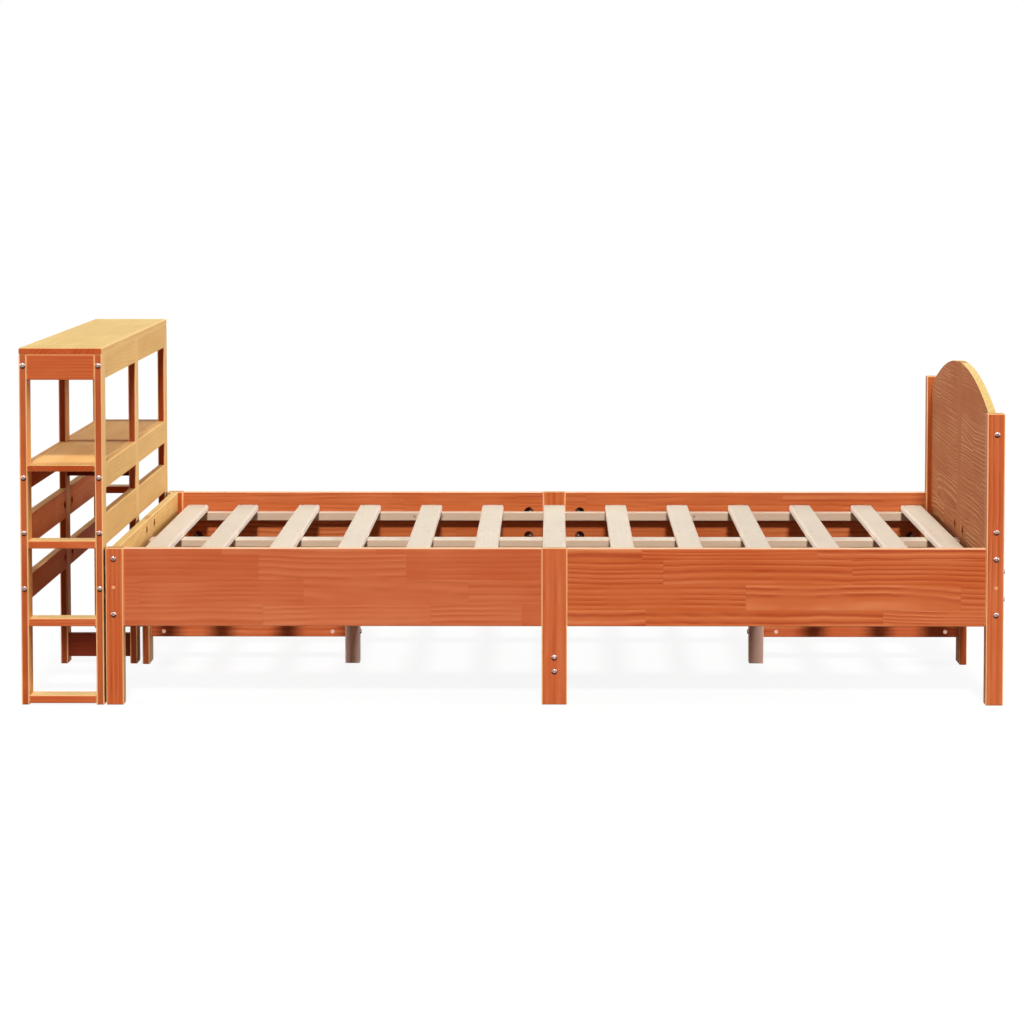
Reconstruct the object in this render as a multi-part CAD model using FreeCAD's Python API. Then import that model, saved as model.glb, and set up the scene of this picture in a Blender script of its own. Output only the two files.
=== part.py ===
import FreeCAD, Part
import itertools
import math
import os

Vector = FreeCAD.Vector

# A wooden bed frame for a 1200 x 2000 mm mattress, with an open bookcase standing at its head.
# X runs from the head to the foot, Y from the near side to the far side, and Z up.
# The origin is the middle of the whole outline, on the floor.

# Mattress space
mattress_length = 2000.0
mattress_width = 1200.0
end_play = 0.5
side_play = 2.0

# Boards and edges
board_thickness = 18.0
arris = 2.0
overrun = 5.0

# Bed frame
post_side = 40.0
rail_bottom = 181.0
rail_height = 180.0
rail_setback = 7.5
panel_setback = 9.0
mid_leg_width = 58.0
centre_leg_width = 75.0
foot_post_height = 670.0
arch_shoulder_drop = 20.0
arch_rise = 98.0

# Slats, cleats and the beam under them
slat_width = 56.0
slat_thickness = 18.0
slat_round = 5.0
slat_drop = 34.0
slat_end_gap = 24.5
slat_end_pitch = 133.0
slat_end_play = 4.0
slat_pairs = 6
cleat_height = 22.0
cleat_depth = 28.0
cleat_gap = 0.3
beam_width = 65.0
beam_thickness = 18.0

# Legs and low braces under the middle
support_leg_side = 36.0
support_leg_reach = 500.0
brace_height = 58.0
brace_middle_height = 93.5

# Bookcase
bookcase_depth = 190.0
bookcase_height = 820.0
bookcase_post_width = 58.0
bookcase_top_thickness = 15.0
shelf_height = 552.0
shelf_thickness = 15.0
shelf_play = 0.2
apron_height = 58.0
upper_rail_top = 436.0
upper_rail_height = 72.0
lower_rail_top = 297.0
lower_rail_height = 58.0
upper_rung_top = 378.0
middle_rung_top = 199.0
bottom_rung_top = 21.5
mid_shelf_board_height = 72.0
mid_bottom_board_height = 58.0
mid_bottom_board_low = 15.0

# Bolts, nuts and rods
bolt_radius = 3.0
bolt_head_radius = 6.75
bolt_head_height = 4.0
bolt_head_round = 3.7
bolt_socket_width = 4.0
bolt_socket_depth = 2.4
bolt_tail = 2.5
hole_play = 0.25
head_seat_play = 0.5
moon_height = 11.0
moon_flat = 4.0
moon_play = 0.2
barrel_radius = 5.0
barrel_inset = 32.0
barrel_end_play = 1.0

# Round pockets for half-moon nuts: how far their middle lies in, their radius and their depth
bed_pocket = {"middle": 38.5, "radius": 12.5, "depth": 15.0}
bookcase_pocket = {"middle": 31.0, "radius": 12.5, "depth": 15.0}

# Heights of the bolts about the middle of each board
rail_bolt_spread = 64.0
rail_bolt_rise = 4.5
panel_bolt_spread = 128.0
panel_bolt_rise = 2.0
arch_bolt_low_inset = 38.0
arch_bolt_top_inset = 27.0
brace_bolt_spread = 32.0
top_apron_bolt_rise = 4.0
upper_rail_bolt_rise = -4.0

# Dowels and wood screws
dowel_radius = 4.0
dowel_panel_depth = 20.0
small_dowel_radius = 3.0
small_dowel_short_end = 10.0
small_dowel_long_end = 18.0
dowel_place_shares = (0.25, 0.5, 0.75)
screw_radius = 2.0
screw_head_radius = 4.0
screw_head_height = 2.0
screw_grip = 16.0
slat_screw_spread = 34.0
slat_screw_inset = 12.0
slat_screw_beam_grip = 10.0
cleat_screws = ((2, -28.0), (2, 45.0), (5, 0.0))  # slat, counted from the middle one, and how far from it
frame_fixing_spread = 28.0

# Places worked out from the sizes above
inner_end = mattress_length / 2 + end_play
bed_half_length = inner_end + board_thickness + panel_setback
post_inner_x = bed_half_length - post_side
rail_inner_y = mattress_width / 2 + side_play
rail_outer_y = rail_inner_y + board_thickness
bed_half_width = rail_outer_y + rail_setback
post_inner_y = bed_half_width - post_side
rail_top = rail_bottom + rail_height
rail_middle_height = rail_bottom + rail_height / 2
panel_middle = inner_end + board_thickness / 2
rail_middle_y = rail_inner_y + board_thickness / 2
slat_top = rail_top - slat_drop
slat_bottom = slat_top - slat_thickness
cleat_bottom = slat_bottom - cleat_height
cleat_inner_y = rail_inner_y - cleat_depth
beam_bottom = slat_bottom - beam_thickness
slat_end_x = inner_end - slat_end_gap - slat_width / 2
slat_pitch = (slat_end_x - slat_end_pitch) / (slat_pairs - 1)
arch_shoulder_height = foot_post_height - arch_shoulder_drop
arch_top_height = arch_shoulder_height + arch_rise
arch_radius = (post_inner_y**2 + arch_rise**2) / (2 * arch_rise)
bookcase_post_height = bookcase_height - bookcase_top_thickness
bookcase_gap = bolt_head_height + head_seat_play
whole_length = bookcase_depth + bookcase_gap + 2 * bed_half_length + bolt_head_height
bookcase_back = -whole_length / 2
bookcase_front = bookcase_back + bookcase_depth
bed_middle = whole_length / 2 - bolt_head_height - bed_half_length
rows = {
    "back": (bookcase_back, bookcase_back + board_thickness, 1),
    "front": (bookcase_front - board_thickness, bookcase_front, -1),
}
frame_middle_y = bed_half_width - bookcase_post_width / 2
shelf_back = bookcase_back + board_thickness
shelf_front = bookcase_front - board_thickness

side_names = {-1: "near", 1: "far"}
end_names = {-1: "head", 1: "foot"}

pieces = {}
cutters = {}


def block(xs, ys, zs):
    low = Vector(min(xs), min(ys), min(zs))
    size = Vector(max(xs), max(ys), max(zs)) - low
    return Part.makeBox(size.x, size.y, size.z, low)


def board(xs, ys, zs, rounding=arris):
    box = block(xs, ys, zs)
    return box.makeFillet(rounding, box.Edges)


def eased_but_at(level, solid):
    # rounds every edge but those at this height, where two boards meet square
    return solid.makeFillet(arris, [e for e in solid.Edges if abs(e.CenterOfMass.z - level) > arris])


def keep(name, shape):
    pieces.setdefault(name, []).append(shape)


def drill(name, tool):
    cutters.setdefault(name, []).append(tool)


def placed(shape, point, direction):
    turned = shape.copy()
    turned.Placement = FreeCAD.Placement(point, FreeCAD.Rotation(Vector(0, 0, 1), direction))
    return turned


def rod(start, along, length, radius):
    return Part.makeCylinder(radius, length, start, along)


def hexagon(width, height, low):
    reach = width / math.sqrt(3)
    corners = [
        Vector(reach * math.cos(math.radians(60 * n)), reach * math.sin(math.radians(60 * n)), low)
        for n in range(7)
    ]
    return Part.Face(Part.makePolygon(corners)).extrude(Vector(0, 0, height))


# Fasteners, each made upright at the origin with its head up

def bolt(length):
    head = Part.makeCylinder(bolt_head_radius, bolt_head_height)
    rim = [e for e in head.Edges if e.BoundBox.ZMin > bolt_head_height / 2]
    head = head.makeFillet(bolt_head_round, rim)
    shaft = rod(Vector(0, 0, 0), Vector(0, 0, -1), length, bolt_radius)
    socket = hexagon(bolt_socket_width, bolt_socket_depth + overrun, bolt_head_height - bolt_socket_depth)
    return head.fuse(shaft).removeSplitter().cut(socket)


def flat_screw(length):
    neck = Vector(0, 0, -screw_head_height)
    head = Part.makeCone(screw_radius, screw_head_radius, screw_head_height, neck)
    shaft = rod(neck, Vector(0, 0, -1), length - screw_head_height, screw_radius)
    return head.fuse(shaft).removeSplitter()


# Joints: each cuts its holes in the wood it goes through and adds its metal

def half_moon_nut(middle, along, out, radius):
    # the half disc of a round pocket that lies nearest the joint, with the bolt's hole through it
    disc = rod(middle - out * (moon_height / 2), out, moon_height, radius - moon_play)
    beyond = rod(middle - along * moon_flat, along, 2 * radius, 2 * radius)
    bore = rod(middle - along * (2 * radius), along, 4 * radius, bolt_radius + hole_play)
    return disc.cut(beyond).cut(bore)


def pocket_end(end, along, out, pocket, name):
    # end is the bolt's axis where the board begins, half a board under the face that out points from
    middle = end + along * pocket["middle"]
    floor = middle + out * (board_thickness / 2 - pocket["depth"])
    drill(name, rod(floor, out, pocket["depth"] + overrun, pocket["radius"]))
    drill(name, rod(end, along, pocket["middle"], bolt_radius + hole_play))
    keep("nuts", half_moon_nut(middle, along, out, pocket["radius"]))


def bolt_joint(face, along, through, out, pocket, carrier, name):
    hole = rod(face - along * overrun, along, through + 2 * overrun, bolt_radius + hole_play)
    drill(carrier, hole)
    pocket_end(face + along * through, along, out, pocket, name)
    length = through + pocket["middle"] - moon_flat + bolt_tail
    keep("bolts", placed(bolt(length), face, along * -1))


def rod_joint(middle, along, through, out, pocket, carrier, low_name, high_name):
    reach = through / 2 + overrun
    drill(carrier, rod(middle - along * reach, along, 2 * reach, bolt_radius + hole_play))
    pocket_end(middle + along * (through / 2), along, out, pocket, high_name)
    pocket_end(middle - along * (through / 2), along * -1, out, pocket, low_name)
    half = through / 2 + pocket["middle"] - moon_flat + bolt_tail
    keep("joining_rods", rod(middle - along * half, along, 2 * half, bolt_radius))


def barrel_joint(face, along, through, side, carrier, name):
    # side is the direction that the barrel nut lies in, across the board
    drill(carrier, rod(face - along * overrun, along, through + 2 * overrun, bolt_radius + hole_play))
    length = through + barrel_inset + barrel_radius
    middle = face + along * (through + barrel_inset)
    drill(name, rod(face, along, length, bolt_radius + hole_play))
    reach = board_thickness / 2 + overrun
    drill(name, rod(middle - side * reach, side, 2 * reach, barrel_radius + hole_play))
    half = board_thickness / 2 - barrel_end_play
    barrel = rod(middle - side * half, side, 2 * half, barrel_radius)
    bore = rod(middle - along * overrun * 2, along, overrun * 4, bolt_radius + hole_play)
    keep("nuts", barrel.cut(bore))
    keep("bolts", placed(bolt(length - hole_play), face, along * -1))


def dowel_joint(start, along, length, radius, names):
    for name in names:
        drill(name, rod(start, along, length, radius + hole_play))
    keep("dowels", rod(start, along, length, radius))


def flush_screw(face, along, length, names):
    screw = placed(flat_screw(length), face, along * -1)
    shaft = rod(face, along, length, screw_radius + hole_play)
    sink_radius = screw_head_radius + hole_play
    sink = Part.makeCone(sink_radius, screw_radius + hole_play, screw_head_height, face, along)
    for name in names:
        drill(name, shaft)
    drill(names[0], sink)
    keep("screws", screw)


# Bed frame

def bed_x(x):
    return bed_middle + x


def spread(middle, width):
    return (middle - width / 2, middle + width / 2)


def arch_height(y):
    return arch_top_height - arch_radius + math.sqrt(arch_radius**2 - y**2)


def arched_board(y_low, y_high, bottom):
    x = bed_x(inner_end)
    y_middle = (y_low + y_high) / 2
    crown = [Vector(x, y, arch_height(y)) for y in (y_high, y_middle, y_low)]
    corners = [crown[2], Vector(x, y_low, bottom), Vector(x, y_high, bottom), crown[0]]
    outline = Part.Wire([*Part.makePolygon(corners).Edges, Part.Arc(*crown).toShape()])
    return Part.Face(outline).extrude(Vector(board_thickness, 0, 0))


def make_posts_and_legs():
    for end in (-1, 1):
        height = rail_top if end < 0 else foot_post_height
        xs = (bed_x(end * post_inner_x), bed_x(end * bed_half_length))
        for side in (-1, 1):
            ys = (side * post_inner_y, side * bed_half_width)
            keep(f"{end_names[end]}_post_{side_names[side]}", board(xs, ys, (0, height)))
    for side in (-1, 1):
        ys = (side * rail_inner_y, side * rail_outer_y)
        xs = spread(bed_x(0), mid_leg_width)
        keep(f"mid_leg_{side_names[side]}", board(xs, ys, (0, rail_top)))
    head_xs = (bed_x(-inner_end), bed_x(-inner_end - board_thickness))
    keep("head_centre_leg", board(head_xs, spread(0, centre_leg_width), (0, rail_top)))
    stile = arched_board(*spread(0, centre_leg_width), 0)
    keep("foot_centre_stile", stile.makeFillet(arris, stile.Edges))


def make_rails_and_panels():
    for side in (-1, 1):
        place = side_names[side]
        ys = (side * rail_inner_y, side * rail_outer_y)
        for end in (-1, 1):
            xs = (bed_x(end * mid_leg_width / 2), bed_x(end * post_inner_x))
            keep(f"side_rail_{place}_{end_names[end]}", board(xs, ys, (rail_bottom, rail_top)))
            xs = (bed_x(end * inner_end), bed_x(end * (inner_end + board_thickness)))
            panel_ys = (side * centre_leg_width / 2, side * post_inner_y)
            panel_zs = (rail_bottom, rail_top)
            if end < 0:
                keep(f"head_board_{place}", board(xs, panel_ys, panel_zs))
            else:
                keep(f"foot_board_{place}", eased_but_at(rail_top, block(xs, panel_ys, panel_zs)))
                arch = arched_board(*sorted(panel_ys), rail_top)
                keep(f"foot_arch_{place}", eased_but_at(rail_top, arch))


def join_rails():
    along_x = Vector(1, 0, 0)
    for side in (-1, 1):
        place = side_names[side]
        inward = Vector(0, -side, 0)
        for height in spread(rail_middle_height + rail_bolt_rise, rail_bolt_spread):
            y = side * rail_middle_y
            names = [f"side_rail_{place}_{end_names[end]}" for end in (-1, 1)]
            rod_joint(
                Vector(bed_x(0), y, height), along_x, mid_leg_width, inward, bed_pocket,
                f"mid_leg_{place}", *names,
            )
            for end, name in zip((-1, 1), names):
                face = Vector(bed_x(end * bed_half_length), y, height)
                post = f"{end_names[end]}_post_{place}"
                bolt_joint(face, along_x * -end, post_side, inward, bed_pocket, post, name)


def join_panel(end, heights, out, board_name, leg):
    along_y = Vector(0, 1, 0)
    outward = Vector(end, 0, 0)
    x = bed_x(end * panel_middle)
    names = [f"{board_name}_{side_names[side]}" for side in (-1, 1)]
    for height in heights:
        rod_joint(Vector(x, 0, height), along_y, centre_leg_width, out, bed_pocket, leg, *names)
        for side, name in zip((-1, 1), names):
            face = Vector(x, side * bed_half_width, height)
            post = f"{end_names[end]}_post_{side_names[side]}"
            bolt_joint(face, along_y * -side, post_side, outward, bed_pocket, post, name)


def join_panels():
    heights = spread(rail_middle_height + panel_bolt_rise, panel_bolt_spread)
    join_panel(-1, heights, Vector(1, 0, 0), "head_board", "head_centre_leg")
    join_panel(1, heights, Vector(-1, 0, 0), "foot_board", "foot_centre_stile")
    heights = (rail_top + arch_bolt_low_inset, arch_shoulder_height - arch_bolt_top_inset)
    join_panel(1, heights, Vector(1, 0, 0), "foot_arch", "foot_centre_stile")
    for end in (-1, 1):
        for side in (-1, 1):
            names = [f"{end_names[end]}_{kind}_{side_names[side]}" for kind in ("post", "board")]
            start = Vector(bed_x(end * panel_middle), side * bed_half_width, rail_middle_height)
            dowel_joint(start, Vector(0, -side, 0), post_side + dowel_panel_depth, dowel_radius, names)


# Slat base

def slat_centres():
    inner = [slat_pitch * n for n in range(1 - slat_pairs, slat_pairs)]
    return [-slat_end_x, *inner, slat_end_x]


def make_slat_base():
    for side in (-1, 1):
        ys = (side * cleat_inner_y, side * rail_inner_y)
        for end in (-1, 1):
            xs = (bed_x(end * cleat_gap / 2), bed_x(end * (post_inner_x - cleat_gap)))
            keep(f"side_cleats_{side_names[side]}", board(xs, ys, (cleat_bottom, slat_bottom)))
    xs = (bed_x(-inner_end), bed_x(inner_end))
    keep("centre_beam", board(xs, spread(0, beam_width), (beam_bottom, slat_bottom)))
    length = 2 * (rail_inner_y - slat_end_play)
    for n, x in enumerate(slat_centres(), 1):
        xs = spread(bed_x(x), slat_width)
        slat = board(xs, spread(0, length), (slat_bottom, slat_top), slat_round)
        keep(f"slat_{n:02d}", slat)


def screw_slat_base():
    down = Vector(0, 0, -1)
    cleat_screw_y = rail_inner_y - slat_end_play - slat_screw_inset
    cleat_grip = slat_thickness + screw_grip
    for n, middle in enumerate(slat_centres(), 1):
        for x in spread(bed_x(middle), slat_screw_spread):
            beam_grip = slat_thickness + slat_screw_beam_grip
            flush_screw(Vector(x, 0, slat_top), down, beam_grip, [f"slat_{n:02d}", "centre_beam"])
            for side in (-1, 1):
                names = [f"slat_{n:02d}", f"side_cleats_{side_names[side]}"]
                flush_screw(Vector(x, side * cleat_screw_y, slat_top), down, cleat_grip, names)
    for side in (-1, 1):
        for end, (n, aside) in itertools.product((-1, 1), cleat_screws):
            x = bed_x(end * (slat_pitch * n + aside))
            face = Vector(x, side * cleat_inner_y, slat_bottom - cleat_height / 2)
            rail = f"side_rail_{side_names[side]}_{end_names[end]}"
            length = cleat_depth + board_thickness / 2
            flush_screw(face, Vector(0, side, 0), length, [f"side_cleats_{side_names[side]}", rail])


# Legs and braces under the middle

def make_underframe():
    along_x = Vector(1, 0, 0)
    along_y = Vector(0, 1, 0)
    brace_zs = spread(brace_middle_height, brace_height)
    support_far = support_leg_reach + support_leg_side / 2
    support_near = support_leg_reach - support_leg_side / 2
    for end in (-1, 1):
        leg = f"support_leg_{end_names[end]}"
        xs = spread(bed_x(end * support_leg_reach), support_leg_side)
        keep(leg, board(xs, spread(0, support_leg_side), (0, beam_bottom)))
        top = Vector(bed_x(end * support_leg_reach), 0, slat_bottom)
        flush_screw(top, Vector(0, 0, -1), 2 * beam_thickness + screw_grip, ["centre_beam", leg])
        brace = f"low_brace_{end_names[end]}"
        xs = (bed_x(end * support_far), bed_x(end * inner_end))
        keep(brace, board(xs, spread(0, board_thickness), brace_zs))
        end_leg = "head_centre_leg" if end < 0 else "foot_centre_stile"
        for height in spread(brace_middle_height, brace_bolt_spread):
            outer = Vector(bed_x(end * (inner_end + board_thickness)), 0, height)
            barrel_joint(outer, along_x * -end, board_thickness, along_y, end_leg, brace)
            inner = Vector(bed_x(end * support_near), 0, height)
            barrel_joint(inner, along_x * end, support_leg_side, along_y, leg, brace)
        beam_end = Vector(bed_x(end * (inner_end + board_thickness)), 0, beam_bottom + beam_thickness / 2)
        length = board_thickness + screw_grip
        for y in spread(0, frame_fixing_spread):
            flush_screw(beam_end + Vector(0, y, 0), along_x * -end, length, [end_leg, "centre_beam"])
    ys = (-rail_inner_y, rail_inner_y)
    keep("low_cross_brace", board(spread(bed_x(0), board_thickness), ys, brace_zs))
    for side in (-1, 1):
        for height in spread(brace_middle_height, brace_bolt_spread):
            face = Vector(bed_x(0), side * rail_outer_y, height)
            leg = f"mid_leg_{side_names[side]}"
            barrel_joint(face, along_y * -side, board_thickness, along_x, leg, "low_cross_brace")


# Bookcase

def frame_board(name, xs, y, width, bottom, top):
    keep(name, board(xs, spread(y, width), (bottom, top)))


def make_bookcase_frames():
    inner_xs = (shelf_back, shelf_front)
    for side, place in ((-1, "near"), (0, "mid"), (1, "far")):
        y = side * frame_middle_y
        for row, (low, high, _) in rows.items():
            post = f"bookcase_post_{row}_{place}"
            keep(post, board((low, high), spread(y, bookcase_post_width), (0, bookcase_post_height)))
        name = f"bookcase_{place}_rungs" if side else "bookcase_mid_boards"
        dowels = []
        if side:
            for top in (upper_rung_top, middle_rung_top, bottom_rung_top):
                frame_board(name, inner_xs, y, bookcase_post_width, top - board_thickness, top)
                height = top - board_thickness / 2
                dowels += [(dowel_y, height) for dowel_y in spread(y, frame_fixing_spread)]
            apron_y = side * (bed_half_width - board_thickness / 2)
            boards = [(bookcase_post_height - apron_height, bookcase_post_height)]
        else:
            apron_y = y
            shelf_low = shelf_height - shelf_thickness
            boards = [
                (bookcase_post_height - apron_height, bookcase_post_height),
                (shelf_low - mid_shelf_board_height, shelf_low),
                (mid_bottom_board_low, mid_bottom_board_low + mid_bottom_board_height),
            ]
        for bottom, top in boards:
            frame_board(name, inner_xs, apron_y, board_thickness, bottom, top)
            dowels += [(apron_y, z) for z in spread((bottom + top) / 2, frame_fixing_spread)]
        length = small_dowel_short_end + small_dowel_long_end
        for dowel_y, height in dowels:
            for row, (low, high, inward) in rows.items():
                inner = high if inward > 0 else low
                start = Vector(inner - inward * small_dowel_short_end, dowel_y, height)
                names = [f"bookcase_post_{row}_{place}", name]
                dowel_joint(start, Vector(inward, 0, 0), length, small_dowel_radius, names)


def make_bookcase_rails():
    along_y = Vector(0, 1, 0)
    rails = [
        (bookcase_post_height, apron_height, top_apron_bolt_rise),
        (shelf_height, apron_height, 0),
        (upper_rail_top, upper_rail_height, upper_rail_bolt_rise),
        (lower_rail_top, lower_rail_height, 0),
    ]
    post_inner = bookcase_post_width / 2
    frame_inner = frame_middle_y - bookcase_post_width / 2
    for row, (low, high, inward) in rows.items():
        names = [f"bookcase_rails_{row}_{side_names[side]}" for side in (-1, 1)]
        out = Vector(inward, 0, 0)
        end_out = Vector(-1, 0, 0)
        x = (low + high) / 2
        for top, height, rise in rails:
            level = top - height / 2 + rise
            middle = Vector(x, 0, level)
            post = f"bookcase_post_{row}_mid"
            rod_joint(middle, along_y, bookcase_post_width, out, bookcase_pocket, post, *names)
            for side, name in zip((-1, 1), names):
                ys = (side * post_inner, side * frame_inner)
                keep(name, board((low, high), ys, (top - height, top)))
                face = Vector(x, side * bed_half_width, level)
                post = f"bookcase_post_{row}_{side_names[side]}"
                bolt_joint(face, along_y * -side, bookcase_post_width, end_out, bookcase_pocket, post, name)


def make_shelves():
    top_xs = (bookcase_back, bookcase_front)
    top_ys = (-bed_half_width, bed_half_width)
    keep("bookcase_top", board(top_xs, top_ys, (bookcase_post_height, bookcase_height)))
    shelf_zs = (shelf_height - shelf_thickness, shelf_height)
    for side in (-1, 1):
        place = side_names[side]
        shelf = f"bookcase_shelf_{place}"
        ys = (side * shelf_play / 2, side * bed_half_width)
        xs = (shelf_back + shelf_play / 2, shelf_front - shelf_play / 2)
        keep(shelf, board(xs, ys, shelf_zs))
        for row, (low, high, inward) in rows.items():
            rails = f"bookcase_rails_{row}_{place}"
            length = small_dowel_short_end + small_dowel_long_end
            shelf_edge = shelf_back if row == "back" else shelf_front
            for share in dowel_place_shares:
                y = side * frame_middle_y * share
                level = shelf_height - shelf_thickness / 2
                start = Vector(shelf_edge - inward * small_dowel_short_end, y, level)
                dowel_joint(start, Vector(inward, 0, 0), length, small_dowel_radius, [rails, shelf])
                top = bookcase_post_height + small_dowel_short_end
                start = Vector((low + high) / 2, y, top)
                names = [rails, "bookcase_top"]
                dowel_joint(start, Vector(0, 0, -1), length, small_dowel_radius, names)


make_posts_and_legs()
make_rails_and_panels()
join_rails()
join_panels()
make_slat_base()
screw_slat_base()
make_underframe()
make_bookcase_frames()
make_bookcase_rails()
make_shelves()

os.makedirs("parts", exist_ok=True)
for name, shapes in pieces.items():
    shape = shapes[0] if len(shapes) == 1 else Part.makeCompound(shapes)
    if name in cutters:
        shape = shape.cut(cutters[name])
    solids = shape.Solids
    if len(solids) != len(shapes) or not all(s.isValid() for s in solids):
        print("check", name, len(shapes), "made,", len(solids), "left")
    shape = solids[0] if len(solids) == 1 else Part.makeCompound(solids)
    shape.exportStep(f"parts/{name}.step")
print(len(pieces), "nodes")
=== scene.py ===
import bpy
from math import radians
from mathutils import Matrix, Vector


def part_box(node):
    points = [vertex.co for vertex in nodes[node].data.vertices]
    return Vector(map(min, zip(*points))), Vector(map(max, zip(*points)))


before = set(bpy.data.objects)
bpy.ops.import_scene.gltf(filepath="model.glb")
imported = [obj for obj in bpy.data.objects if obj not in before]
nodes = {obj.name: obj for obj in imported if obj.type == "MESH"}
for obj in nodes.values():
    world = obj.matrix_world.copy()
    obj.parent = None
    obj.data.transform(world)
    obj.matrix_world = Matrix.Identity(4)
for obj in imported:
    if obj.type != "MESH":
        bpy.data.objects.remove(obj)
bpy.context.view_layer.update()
print("frame loaded:", len(nodes), "nodes")


# node helpers: a value is a number, a vector, a colour such as "d08050" or another node's output

def paint(code):
    # from the screen's values to Blender's linear ones
    parts = [int(code[n:n + 2], 16) / 255 for n in (0, 2, 4)]
    return (*[p / 12.92 if p < 0.04045 else ((p + 0.055) / 1.055) ** 2.4 for p in parts], 1.0)


def plug(tree, value, socket):
    if isinstance(value, bpy.types.NodeSocket):
        tree.links.new(value, socket)
    else:
        socket.default_value = paint(value) if isinstance(value, str) else value


def plugAll(tree, values, sockets):
    for key, value in values.items():
        plug(tree, value, sockets[key])


def addNode(tree, kind, inputs=None, **settings):
    node = tree.nodes.new(kind)
    for name, value in settings.items():
        setattr(node, name, value)
    plugAll(tree, inputs or {}, node.inputs)
    return node


def calc(tree, operation, *values, clamp=False):
    inputs = dict(enumerate(values))
    return addNode(tree, "ShaderNodeMath", inputs, operation=operation, use_clamp=clamp).outputs[0]


def calcVector(tree, operation, *values):
    node = addNode(tree, "ShaderNodeVectorMath", dict(enumerate(values)), operation=operation)
    return node.outputs["Value" if operation == "DOT_PRODUCT" else "Vector"]


def scaleVector(tree, vector, amount):
    inputs = {0: vector, "Scale": amount}
    return addNode(tree, "ShaderNodeVectorMath", inputs, operation="SCALE").outputs["Vector"]


def splitVector(tree, vector):
    return addNode(tree, "ShaderNodeSeparateXYZ", {0: vector}).outputs


def joinVector(tree, x, y, z):
    return addNode(tree, "ShaderNodeCombineXYZ", {0: x, 1: y, 2: z}).outputs[0]


rising, falling = (0.0, 1.0), (1.0, 0.0)


def ramp(tree, value, span, ends=rising):
    # a smooth step from one end to the other, while the value crosses the span
    inputs = {
        "Value": value, "From Min": span[0], "From Max": span[1],
        "To Min": ends[0], "To Max": ends[1],
    }
    return addNode(tree, "ShaderNodeMapRange", inputs, interpolation_type="SMOOTHSTEP").outputs[0]


def swing(tree, pattern, amount, middle=0.0):
    # a pattern from 0 to 1, made into a swing round the middle
    return calc(tree, "MULTIPLY_ADD", calc(tree, "SUBTRACT", pattern, 0.5), amount, middle)


def blendColor(tree, factor, first, second, mode="MIX"):
    inputs = {0: factor, 6: first, 7: second}  # 6 and 7 are the mix node's two colours
    return addNode(tree, "ShaderNodeMix", inputs, data_type="RGBA", blend_type=mode).outputs[2]


def noise(tree, vector, scale, detail=2.0, rough=0.5):
    inputs = {"Vector": vector, "Scale": scale, "Detail": detail, "Roughness": rough}
    return addNode(tree, "ShaderNodeTexNoise", inputs).outputs[0]


def newGroup(name, inputs, outputs):
    # inputs has the value that each socket starts with, which also tells its kind
    tree = bpy.data.node_groups.new(name, "ShaderNodeTree")
    for label, value in inputs.items():
        kind = "NodeSocket" + {float: "Float", tuple: "Vector", str: "Color"}[type(value)]
        socket = tree.interface.new_socket(label, in_out="INPUT", socket_type=kind)
        socket.default_value = paint(value) if isinstance(value, str) else value
    for label, kind in outputs.items():
        tree.interface.new_socket(label, in_out="OUTPUT", socket_type="NodeSocket" + kind)
    given = tree.nodes.new("NodeGroupInput").outputs
    result = tree.nodes.new("NodeGroupOutput").inputs
    return tree, given, result


def useGroup(tree, group, inputs):
    return addNode(tree, "ShaderNodeGroup", inputs, node_tree=group).outputs


def passOn(given, *names):
    return {name: given[name] for name in names}


def newMaterial(name):
    material = bpy.data.materials.new(name)
    material.use_nodes = True
    return material, material.node_tree


def dress(name, material):
    slots = nodes[name].data.materials
    slots.clear()
    slots.append(material)


def addObject(name, data):
    thing = bpy.data.objects.new(name, data)
    bpy.context.scene.collection.objects.link(thing)
    return thing


# strips glued side by side, each made of finger-jointed blocks

blockPattern = {
    "stripStep": 17.31, "seedStep": 91.7,  # move the joints of one strip off those of the next
    "joint": (0.0002, 0.0011),             # metres from a joint
}


def makeBlocksGroup():
    tree, given, result = newGroup(
        "gluedBlocks",
        {"Along": 0.0, "Across": 0.0, "Seed": 0.0, "Strip Width": 0.06, "Block Length": 0.4},
        {"Tone": "Float", "Scatter": "Vector", "Strip Middle": "Float", "Joint": "Float"},
    )
    seed, width, length = given["Seed"], given["Strip Width"], given["Block Length"]
    strips = calc(tree, "ADD", calc(tree, "DIVIDE", given["Across"], width), seed)
    strip = calc(tree, "FLOOR", strips)
    middle = calc(tree, "SUBTRACT", calc(tree, "ADD", strip, 0.5), seed)
    start = calc(tree, "MULTIPLY", seed, blockPattern["seedStep"])
    start = calc(tree, "MULTIPLY_ADD", strip, blockPattern["stripStep"], start)
    place = calc(tree, "ADD", calc(tree, "DIVIDE", given["Along"], length), start)
    inputs, settings = {"W": place, "Scale": 1.0}, {"voronoi_dimensions": "1D"}
    block = addNode(tree, "ShaderNodeTexVoronoi", inputs, **settings).outputs
    border = addNode(
        tree, "ShaderNodeTexVoronoi", inputs, feature="DISTANCE_TO_EDGE", **settings).outputs
    toEnd = calc(tree, "MULTIPLY", border["Distance"], length)
    fromMiddle = calc(tree, "ABSOLUTE", calc(tree, "SUBTRACT", calc(tree, "FRACT", strips), 0.5))
    toSide = calc(tree, "MULTIPLY", calc(tree, "SUBTRACT", 0.5, fromMiddle), width)
    plugAll(tree, {
        "Tone": splitVector(tree, block["Color"])[0],
        "Scatter": block["Color"],
        "Strip Middle": calc(tree, "MULTIPLY", middle, width),
        "Joint": ramp(tree, calc(tree, "MINIMUM", toEnd, toSide), blockPattern["joint"], falling),
    }, result)
    return tree


# small knots that go through the board

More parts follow.
